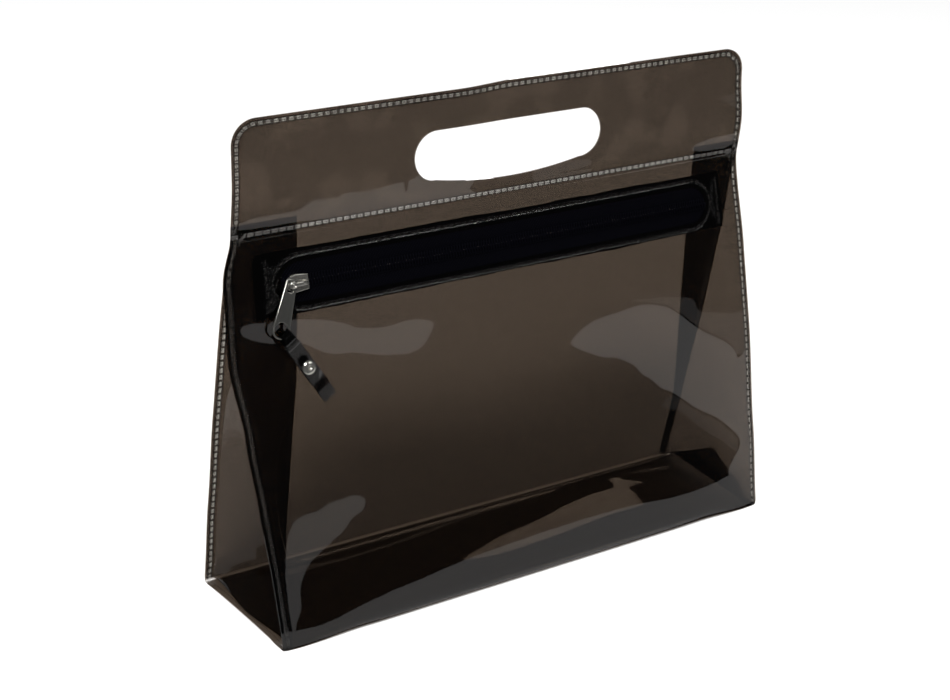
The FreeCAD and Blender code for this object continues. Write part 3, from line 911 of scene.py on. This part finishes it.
def plain_material(name, color, roughness, metallic=0.0, grain=0.0, specular=0.5):
    """One colour, with a fine grain if asked."""
    s = Shader(name)
    shade = s.add("BsdfPrincipled", Base_Color=color, Metallic=metallic,
                  Roughness=roughness, Specular_IOR_Level=specular)
    if grain:
        s.feed(shade.inputs["Normal"], s.bump(s.noise(2600, 3), grain, 0.0001))
    return s.finish(shade.outputs[0])


THREAD_SHARE = 0.35        # how much of the thread is seen


def thread_material():
    """Fine clear-smoke thread, half lost against the film."""
    s = Shader("smoke_thread")
    clear = s.add("BsdfTransparent", Color=(0.5, 0.47, 0.45)).outputs[0]
    shade = s.add("BsdfPrincipled", Base_Color=(0.05, 0.045, 0.04), Roughness=0.3)
    return s.finish(s.mix_looks(THREAD_SHARE, clear, shade.outputs[0]))


tape_look = tape_material()
coil_look = plain_material("black_nylon", (0.0010, 0.0010, 0.0022), 0.6, specular=0.02)
nickel_look = plain_material("bright_nickel", (0.38, 0.37, 0.34), 0.16, 0.9)
satin_look = plain_material("satin_nickel", (0.036, 0.036, 0.033), 0.4, 0.5, grain=0.25)
thread_look = thread_material()
# The strap's film gets painted sheen: white mixed in where reflections would be.
strap_look = film_material("strap_film", (0.2, 0.195, 0.205), stitched=False, gloss_gain=1.3,
                           painted_sheen=0.013)
strap_rim_look = film_material("strap_film_rim", (0.1, 0.1, 0.11), stitched=False)


# --- zip --------------------------------------------------------------------
TAPE_L, TAPE_R = -124.5, 123.5
TAPE_DEPTH = 0.5           # middle of the tape behind the middle of the film
COIL_L, COIL_R = WINDOW_L + 0.6, WINDOW_R - 0.6
COIL_PITCH = 1.43
COIL_MIDDLE, COIL_WIDE = 1.15, 1.45      # of the winding, up the wall
COIL_OUT, COIL_DEEP = 0.64, 0.42         # and out from the film
TAPE_WIDE = 13.5           # one half of the tape, from the coil to its woven edge
TAPE_GAP = 0.06            # half the gap between the two halves


def zip_point(x, up, depth):
    """A point up the wall from the zip's line and behind the film."""
    s = ZIP_S - up
    normal = profile.place(s)[1]
    return sheet_point(x, s) - Vector((0, normal.x, normal.y)) * depth


def tape_edge(x, sign):
    """The woven edge wanders a little where the tape was pulled in sewing."""
    half = TAPE_WIDE + sign * 0.4
    return half + 0.55 * wave(x, sign * 40, 26, 7.7) + 0.3 * wave(x, sign * 9, 9, 1.2)


def tape(sign, name, node):
    """One woven half of the tape, behind the wall."""
    steps, rows = 126, 10
    columns = [TAPE_L + (TAPE_R - TAPE_L) * k / steps for k in range(steps + 1)]
    points, across, up_values = [], [], []
    for x in columns:
        edge = tape_edge(x, sign)
        for k in range(rows + 1):
            up = sign * (TAPE_GAP + (edge - TAPE_GAP) * k / rows)
            ragged = 0.5 * wave(up, 3, 1.7, 4.4) if x > TAPE_R - 1 else 0.0
            points.append(zip_point(x + ragged, up, TAPE_DEPTH))
            across.append(x)
            up_values.append(up)
    faces = [(i * (rows + 1) + k, (i + 1) * (rows + 1) + k,
              (i + 1) * (rows + 1) + k + 1, i * (rows + 1) + k + 1)
             for i in range(len(columns) - 1) for k in range(rows)]
    obj = mesh_object(name, points, faces)
    set_attribute(obj, "tape_across", across)
    set_attribute(obj, "tape_up", up_values)
    thicken(obj, 0.45)
    obj.data.materials.append(tape_look)
    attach(obj, "bag")
    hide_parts(node)


def coil(sign, name, node):
    """Nylon monofilament wound into teeth along the tape's edge."""
    pile, steps = Pile(), 12
    turns = int((COIL_R - COIL_L) / COIL_PITCH)
    shift = 0.5 if sign < 0 else 0.0
    path = []
    for k in range(turns * steps):
        turn = k / steps
        a = 2 * math.pi * turn
        up = sign * (COIL_MIDDLE - COIL_WIDE * math.cos(a))
        depth = -COIL_OUT - COIL_DEEP * math.sin(a)
        path.append(zip_point(COIL_L + (turn + shift) * COIL_PITCH, up, depth))
    pile.tube(path, 0.27, 5)
    obj = pile.build(name, coil_look, "bag")
    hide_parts(node)


def frayed_ends():
    """Loose yarns at the cut end of the tape."""
    pile, rng = Pile(), random.Random(8)
    for k in range(9):
        up = -12.5 + 2.4 * k + rng.uniform(-0.6, 0.6)
        length = rng.uniform(1.0, 2.6) if k != 3 else 5.2
        rise = rng.uniform(-1.2, 1.2)
        path = [zip_point(TAPE_R - 0.6 + length * t / 6, up + rise * (t / 6) ** 2,
                          TAPE_DEPTH + 0.15 * math.sin(t))
                for t in range(7)]
        pile.tube(path, 0.16, 5, taper=True)
    obj = pile.build("tape_yarns", tape_look, "bag")


for sign, half in ((1, "upper"), (-1, "lower")):
    tape(sign, "tape_" + half, "zip_tape_" + half)
    coil(sign, "coil_" + half, "zip_coil_" + half)
frayed_ends()


# --- sewing -----------------------------------------------------------------
def seam_of(name, x, s):
    """Which sewn row of the record a stitch belongs to."""
    side = "left" if x < 0 else "right"
    if name == "edge":
        if min(s, profile.length - s) < HANDLE_LENGTH:
            return "handle_edge_thread"
        if profile.front_fold[1] < s < profile.back_fold[0]:
            return side + "_base_seam_thread"
        part = "front" if s < profile.length / 2 else "back"
        return side + "_" + part + "_seam_thread"
    return {"front_cross": "cross_seam_thread", "back_cross": "cross_seam_thread",
            "window": "zip_window_thread", "left_end": "left_tape_end_thread",
            "right_end": "right_tape_end_thread"}[name]


def along_line(line, at):
    """The point at a distance along a line."""
    for a, b in zip(line, line[1:]):
        length = math.dist(a, b)
        if at <= length:
            t = at / length
            return a[0] + (b[0] - a[0]) * t, a[1] + (b[1] - a[1]) * t
        at -= length
    return line[-1]


STITCH_START, STITCH_LENGTH = 0.12, 2.6


def sew():
    """One small arched thread per stitch, lying in the pressed cell."""
    piles = {}
    for name, line in LINES.items():
        total = sum(math.dist(a, b) for a, b in zip(line, line[1:]))
        for k in range(int(total / STITCH_PITCH)):
            start = (k + STITCH_START) * STITCH_PITCH
            path = []
            for j in range(5):
                x, s = along_line(line, start + STITCH_LENGTH * j / 4)
                normal = profile.place(s)[1]
                on_base = profile.front_fold[1] < s < profile.back_fold[0]
                rise = 0.1 + 0.22 * math.sin(math.pi * j / 4)
                rise *= -1 if on_base else 1
                path.append(sheet_point(x, s) + Vector((0, normal.x, normal.y)) * rise)
            seam = seam_of(name, *along_line(line, start + STITCH_LENGTH / 2))
            piles.setdefault(seam, Pile()).tube(path, 0.11, 5, taper=True)
    for seam, pile in piles.items():
        obj = pile.build(seam.replace("_thread", "_stitches"), thread_look, "bag")
        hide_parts(seam)


sew()


# --- slider, pull tab and strap ---------------------------------------------
def wall_matrix(x, up, out, turn=0.0, lean=0.0):
    """Frame on the wall: first axis along the zip, second up, third out."""
    axes = Matrix(((1, 0, 0), (0, math.sin(ANGLE), -math.cos(ANGLE)),
                   (0, math.cos(ANGLE), math.sin(ANGLE)))).to_4x4()
    place = Matrix.Translation(wall_frame(x, up, out) * MM)
    spun = Matrix.Rotation(math.radians(turn), 4, "Z")
    return place @ axes @ spun @ Matrix.Rotation(math.radians(lean), 4, "X")


def set_on(obj, matrix, body, slot_name, *nodes):
    """Place a piece, set it on its body, and hide the CAD nodes it replaces."""
    obj.matrix_world = matrix
    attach(obj, body)
    if nodes:
        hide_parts(*nodes)


SLIDER_X = -110.6
PIVOT = (-114.35, 0.0, 3.4)              # of the pull tab, on the wall
TAB_TILT = -21.3
TAB_REACH = 19.3           # pivot to the centre of the hole
HOLE_R, TAB_END_R = 3.25, 4.05
STRAP_TURN, STRAP_LEAN = 31.0, 0.0


def slider_crown(at):
    """The bridge that holds the pull tab, with its pressed rivet head."""
    crown = Pile()
    arch = [(4.0, 1.9), (3.95, 3.2), (3.5, 4.3), (2.5, 4.95), (0.5, 5.15),
            (-2.0, 5.2), (-3.6, 5.1), (-4.5, 4.5), (-4.85, 3.4), (-4.85, 1.9)]
    points, sides = [], 12
    for k, (x, w) in enumerate(arch):
        before, after = arch[max(k - 1, 0)], arch[min(k + 1, len(arch) - 1)]
        along = Vector((after[0] - before[0], after[1] - before[1])).normalized()
        out = Vector((-along.y, along.x)) * -0.5
        half = 0.95 if 2 < k < 7 else 0.85
        for a in range(sides):
            c, d = math.cos(2 * math.pi * a / sides), math.sin(2 * math.pi * a / sides)
            v = half * math.copysign(abs(c) ** 0.55, c)
            t = math.copysign(abs(d) ** 0.55, d)
            points.append(Vector((x + out.x * t, v, w + out.y * t)))
    crown.add(points, grid_faces(len(arch), sides, closed=True))
    crown.spin([(0.0, 5.75), (0.45, 5.72), (0.6, 5.5), (0.85, 5.5), (1.05, 5.8),
                (1.4, 5.85), (1.7, 5.6), (1.75, 4.9), (1.5, 4.3)],
               (PIVOT[0] - SLIDER_X + 0.2, 0))
    bridge = mesh_object("slider_crown", crown.points, crown.faces)
    bridge.data.materials.append(nickel_look)
    set_on(bridge, at, "slider", "nickel")


def slider():
    """Two shaped plates, the flanges between them and the bridge on top."""
    at = wall_matrix(SLIDER_X, 0, 0)
    body = [(-5.3, -1.2), (-5.3, 1.2), (-4.2, 2.6), (-0.6, 3.9), (0.6, 3.75),
            (5.2, 3.3), (5.5, 3.1), (5.5, -3.1), (5.2, -3.3), (0.6, -3.75),
            (-0.6, -3.9), (-4.2, -2.6)]
    front = plate("slider_body", body, [], 1.15, 2.2, nickel_look, 0.3)
    set_on(front, at, "slider", "nickel", "slider_body")
    back = plate("slider_back", body, [], -2.7, -1.85, nickel_look, 0.25)
    set_on(back, at, "slider", "nickel")
    for sign in (-1, 1):
        flange = [(-2.4, sign * 3.35), (-0.5, sign * 3.85), (5.4, sign * 3.25),
                  (5.4, sign * 2.98), (-0.5, sign * 3.3), (-2.4, sign * 3.0)]
        if sign < 0:
            flange = flange[::-1]
        wall = plate("slider_flange_" + ("low" if sign < 0 else "high"), flange,
                     [], -0.3, 1.3, nickel_look, 0.15)
        set_on(wall, at, "slider", "nickel")
    slider_crown(at)


def pull_tab():
    """A stamped plate with an eye for the bridge and a hole for the strap."""
    at = wall_matrix(*PIVOT, TAB_TILT)
    top, half, foot = 2.4, 2.5, TAB_END_R
    outline = [(half - 0.9, top), (half, top - 0.9), (foot, -TAB_REACH)]
    outline += arc_points((0, -TAB_REACH), foot, 0, -math.pi, 22)[1:]
    outline += [(-half, top - 0.9), (-half + 0.9, top)]
    eye = [(1.45, 1.4), (1.5, -2.6), (0.9, -3.2), (-0.9, -3.2), (-1.5, -2.6), (-1.45, 1.4)]
    hole = arc_points((0, -TAB_REACH - 0.1), HOLE_R, 0, 2 * math.pi, 40)[:-1]
    tab = plate("pull_tab", outline, [eye, hole], -0.5, 0.5, satin_look, 0.3)
    tab.data.materials.append(nickel_look)
    tab.modifiers["edges"].material = 1
    set_on(tab, at, "pull_tab", "nickel", "pull_tab")


TAB_RIM = 3.6              # from the hole's centre to the middle of the metal round it


def strap_hinge():
    """Frame of the strap where it goes round the tab's lower rim."""
    tilt, turn = math.radians(TAB_TILT), math.radians(STRAP_TURN)
    x = PIVOT[0] + TAB_REACH * math.sin(tilt) + TAB_RIM * math.sin(turn)
    up = -TAB_REACH * math.cos(tilt) - TAB_RIM * math.cos(turn)
    return wall_matrix(x, up, PIVOT[2], STRAP_TURN, STRAP_LEAN)


STRAP_LENGTH, UNDERLAP, STRAP_HALF, NECK_HALF = 34.7, 24.9, 3.5, 2.6
STRAP_MID = 0.42           # middle of each layer from the strap's middle
STRAP_THICK = 0.5
LOOP_R, LOOP_RISE = 1.75, 9.0            # the loop's radius, and where the layers part
RIVET_PLACE = 17.5         # down the strap from its hinge
PAINTED_SHADE_SPOT = (-0.4, 4.2)    # painted shade: a spot beside the rivet left without painted sheen, sideways and above it
PAINTED_SHADE_BAND = 9.4            # painted shade: a band below the rivet left without painted sheen


def strap_path():
    """The strip's middle line, from the end behind, round the loop, to the tip."""
    back = [(-UNDERLAP + k, -STRAP_MID) for k in range(int(UNDERLAP - LOOP_RISE))]
    rise = [(LOOP_RISE * (t / 8 - 1),
             -STRAP_MID - (LOOP_R - STRAP_MID) * smooth(t / 8, 0, 1)) for t in range(9)]
    loop = [(LOOP_R * math.sin(a), -LOOP_R * math.cos(a))
            for a in (math.pi * k / 14 for k in range(1, 14))]
    fall = [(y, -w) for y, w in reversed(rise)]
    front = [(-LOOP_RISE - 0.5 - k, STRAP_MID) for k in range(int(STRAP_LENGTH - LOOP_RISE))]
    front.append((-STRAP_LENGTH, STRAP_MID))
    return back + rise + loop + fall + front


def strap_painted_sheen(x, y):
    """How much painted sheen, standing in for reflections, the strap has: none at the loop,
    at a spot and at a band.
    """
    spot = math.hypot(x - PAINTED_SHADE_SPOT[0], y + RIVET_PLACE - PAINTED_SHADE_SPOT[1])
    band = abs(y + RIVET_PLACE + PAINTED_SHADE_BAND)
    return smooth(-y, 3.4, 4.4) * smooth(spot, 2.3, 3.1) * smooth(band, 1.7, 2.4)


def pull_strap():
    """A strip of film folded through the tab's hole and riveted to itself."""
    path = strap_path()
    at, columns = strap_hinge(), 8
    points, painted_sheen = [], []
    for k, (y, w) in enumerate(path):
        half = NECK_HALF + (STRAP_HALF - NECK_HALF) * smooth(-y, -0.5, 7.5)
        bow = 0.42 * smooth(-y, 18, STRAP_LENGTH) ** 2 if k > len(path) / 2 else 0.0
        for j in range(columns + 1):
            u = 2 * j / columns - 1
            cup = 0.12 * u * u * smooth(-y, 4, 14)
            points.append(Vector((half * u, y, w - bow + cup)))
            painted_sheen.append(strap_painted_sheen(half * u, y))
    strap = mesh_object("pull_strap", points, grid_faces(len(path), columns + 1))
    strap.data.materials.append(strap_look)
    set_attribute(strap, "painted_sheen", painted_sheen)
    thicken(strap, STRAP_THICK)
    crisp(strap, strap_rim_look)
    set_on(strap, at, "strap", "strap_film", "pull_strap")


def turned(name, outline, lift=0.0):
    """A round part of the rivet, from its outline of (radius, height)."""
    pile = Pile()
    pile.spin(outline, (0, -RIVET_PLACE))
    part = mesh_object(name, [p + Vector((0, 0, lift)) for p in pile.points], pile.faces)
    part.data.materials.append(nickel_look)
    set_on(part, strap_hinge(), "strap", "nickel", name)


def rivet():
    """A domed cap on the strap's face, and its post and back disc."""
    face = STRAP_MID + 0.3
    turned("rivet_cap",
           [(0.0, 0.25), (0.45, 0.25), (0.62, 0.75), (0.9, 1.05), (1.4, 1.12), (2.0, 1.0),
            (2.6, 0.72), (3.0, 0.42), (3.2, 0.2), (3.2, 0.0), (0.0, -0.02)], face)
    turned("rivet_post", [(0.0, -face - 0.5), (2.2, -face - 0.5), (2.55, -face - 0.3),
                          (2.55, -face), (1.1, -face), (1.1, face), (0.0, face)])


slider()
pull_tab()
pull_strap()
rivet()

# --- stage, lights and camera -----------------------------------------------
scene = bpy.context.scene
scene.view_settings.view_transform = "Standard"
scene.cycles.transparent_max_bounces = 32


def stage_floor():
    """A pale plain floor that the film's shine doesn't see."""
    size = 3000
    floor = mesh_object("stage_floor", [(-size, -size, 0), (size, -size, 0),
                                        (size, size, 0), (-size, size, 0)],
                        [(0, 1, 2, 3)], smooth=False)
    s = Shader("stage_white")
    white = s.add("BsdfDiffuse", Color=(0.92, 0.92, 0.92))
    floor.data.materials.append(s.finish(white.outputs[0]))
    floor.visible_glossy = False


SEEN_WHITE, LIT_WHITE, SHINE_WHITE = 1.0, 0.6, 0.03


def studio_world():
    """A white surround: bright to look at, soft as light, faint in reflections."""
    world = bpy.data.worlds.new("studio")
    scene.world = world
    world.use_nodes = True
    nodes, links = world.node_tree.nodes, world.node_tree.links
    nodes.clear()
    path = nodes.new("ShaderNodeLightPath")

    def white(strength):
        node = nodes.new("ShaderNodeBackground")
        node.inputs["Color"].default_value = (1, 1, 1, 1)
        node.inputs["Strength"].default_value = strength
        return node.outputs[0]

    def choose(ray, otherwise, chosen):
        node = nodes.new("ShaderNodeMixShader")
        links.new(path.outputs[ray], node.inputs[0])
        links.new(otherwise, node.inputs[1])
        links.new(chosen, node.inputs[2])
        return node.outputs[0]

    unseen = choose("Is Glossy Ray", white(LIT_WHITE), white(SHINE_WHITE))
    surface = choose("Is Camera Ray", unseen, white(SEEN_WHITE))
    links.new(surface, nodes.new("ShaderNodeOutputWorld").inputs["Surface"])


def aim(obj, target):
    """Turn a lamp or camera to face a point."""
    direction = Vector(target) - obj.location
    obj.rotation_euler = direction.to_track_quat("-Z", "Y").to_euler()


def area_light(name, place, target, size, power):
    """A square lamp that the camera can't see."""
    data = bpy.data.lights.new(name, "AREA")
    data.shape = "RECTANGLE"
    data.size, data.size_y = size
    data.energy = power
    lamp = bpy.data.objects.new(name, data)
    lamp.location = place
    scene.collection.objects.link(lamp)
    aim(lamp, target)
    lamp.visible_camera = False


def camera():
    """A long lens in front of the left corner, a little above the bag."""
    data = bpy.data.cameras.new("photo_camera")
    cam = bpy.data.objects.new("photo_camera", data)
    scene.collection.objects.link(cam)
    scene.camera = cam
    cam.location = (-0.48428, -0.68622, 0.42449)
    aim(cam, (-0.01455, 0, 0.10117))
    cam.rotation_euler.rotate_axis("Z", math.radians(1.1575))
    data.lens = 73.9
    data.sensor_width = 36


def rounded(outline, steps=6):
    """A closed smooth curve through the corners of an outline."""
    points, count = [], len(outline)
    for k in range(count):
        a, b, c, d = (Vector(outline[(k + j) % count]) for j in (-1, 0, 1, 2))
        for j in range(steps):
            t = j / steps
            points.append(0.5 * (2 * b + (c - a) * t + (2 * a - 5 * b + 4 * c - d) * t * t
                                 + (3 * b - a - 3 * c + d) * t ** 3))
    return points


def reflector(name, outline, origin, across, up, brightness):
    """A glowing card that only the film's and the metal's shine can see."""
    points = [Vector(origin) + Vector(across) * h + Vector(up) * v
              for h, v in rounded(outline)]
    card = mesh_object(name, points, [tuple(range(len(points)))], smooth=False)
    s = Shader(name)
    card.data.materials.append(s.finish(s.add("Emission", Strength=brightness).outputs[0]))
    card.visible_camera = False
    card.visible_diffuse = False
    card.visible_transmission = False
    card.visible_shadow = False


# Where the cards stand, as (origin, first direction, second direction).
FRONT_CARDS = ((594, -924, 0), (0.84, 0.54, 0), (0, 0, 1))
BACK_CARDS = ((0, 600, 0), (1, 0, 0), (0, 0, 1))
FLOOR_CARDS = ((0, 0, 0.6), (1, 0, 0), (0, 1, 0))


# The studio's softboxes and white boards, each as its name, frame, brightness and outline.
CARDS = [
    ("card_right", FRONT_CARDS, 1.0,
     [(58, 107), (68, 115), (86, 122), (114, 122), (133, 122), (148, 120), (172, 111),
      (193, 99), (223, 78), (240, 65), (272, 42), (303, 21), (318, 9), (331, -1), (380, 0),
      (430, -40), (460, -180), (410, -180), (391, -162), (345, -125), (325, -108),
      (340, -100), (358, -93), (347, -77), (314, -55), (276, -32), (237, -12), (211, 3),
      (177, 21), (152, 32), (134, 49), (121, 66), (105, 78), (89, 85), (73, 95)]),
    ("card_right_faint", FRONT_CARDS, 0.35,
     [(130, 129), (165, 122), (205, 108), (228, 96), (240, 82), (285, 60), (318, 48),
      (360, 38), (370, 4), (331, 1), (303, 23), (272, 44), (240, 67), (223, 80), (193, 101),
      (172, 113), (148, 122)]),
    ("card_right_low", FRONT_CARDS, 0.2,
     [(150, 12), (177, 18), (211, 0), (237, -15), (276, -35), (314, -58), (345, -80),
      (350, -95), (335, -88), (300, -65), (262, -44), (225, -22), (195, -4)]),
    ("card_left", FRONT_CARDS, 0.9,
     [(-300, 190), (-286, 196), (-269, 199), (-232, 203), (-191, 200), (-155, 189),
      (-128, 182), (-103, 181), (-84, 173), (-85, 163), (-95, 151), (-108, 146), (-131, 151),
      (-165, 162), (-208, 166), (-240, 178), (-267, 177), (-298, 182)]),
    ("card_low_left", FRONT_CARDS, 0.8,
     [(-211, 20), (-245, 24), (-290, 20), (-315, 14), (-342, 7), (-366, -3), (-397, -24),
      (-428, -50), (-456, -79), (-485, -128), (-460, -110), (-430, -92), (-412, -70),
      (-390, -54), (-360, -36), (-316, -19), (-278, -6), (-252, 4), (-218, 10)]),
    ("card_handle", FRONT_CARDS, 0.9,
     [(-215, -306), (-205, -299), (-191, -290), (-174, -281), (-153, -271), (-131, -257),
      (-114, -251), (-95, -246), (-61, -240), (-50, -232), (-42, -242), (-36, -215),
      (28, -215), (30, -245), (12, -262), (-50, -285), (-130, -300), (-215, -316)]),
    ("card_handle_right", FRONT_CARDS, 0.4,
     [(98, -240), (110, -238), (155, -234), (158, -241), (127, -248), (100, -253)]),
    ("card_handle_end", FRONT_CARDS, 0.8,
     [(268, -200), (290, -182), (312, -170), (320, -180), (300, -202), (270, -214)]),
    ("card_base", BACK_CARDS, 8.0,
     [(401, 408), (422, 380), (454, 358), (484, 332), (517, 318), (541, 316), (600, 322),
      (640, 385), (597, 390), (554, 397), (505, 419), (451, 432), (409, 424)]),
    ("card_base_low", BACK_CARDS, 5.0,
     [(190, 150), (249, 150), (346, 175), (440, 205), (450, 225), (350, 200), (250, 185),
      (190, 190)]),
    ("card_base_mid", BACK_CARDS, 2.5,
     [(190, 205), (250, 198), (350, 215), (455, 245), (460, 256), (350, 228), (250, 215),
      (190, 225)]),
    ("card_base_streak", BACK_CARDS, 1.5,
     [(190, 262), (265, 262), (357, 236), (400, 240), (357, 247), (265, 275), (190, 285)]),
    ("card_table", FLOOR_CARDS, 0.9,
     [(-200, -46), (-200, -100), (-111, -106), (-90, -112), (-44, -156), (14, -181),
      (63, -205), (116, -211), (143, -208), (170, -195), (188, -167), (206, -146),
      (240, -120), (240, -46)]),
    ("card_table_left", FLOOR_CARDS, 0.3,
     [(-260, -70), (-142, -60), (-138, 0), (-136, 38), (-180, 60), (-260, 60)]),
    ("card_overhead", FRONT_CARDS, 3.0,
     [(-260, 760), (-260, 1400), (360, 1400), (360, 760)]),
]


stage_floor()
studio_world()
for name, plane, brightness, outline in CARDS:
    reflector(name, outline, *plane, brightness)
camera()
area_light("key_light", (-1.57, -2.23, 2.93), (0, 0, 0.1), (1.4, 1.4), 210)
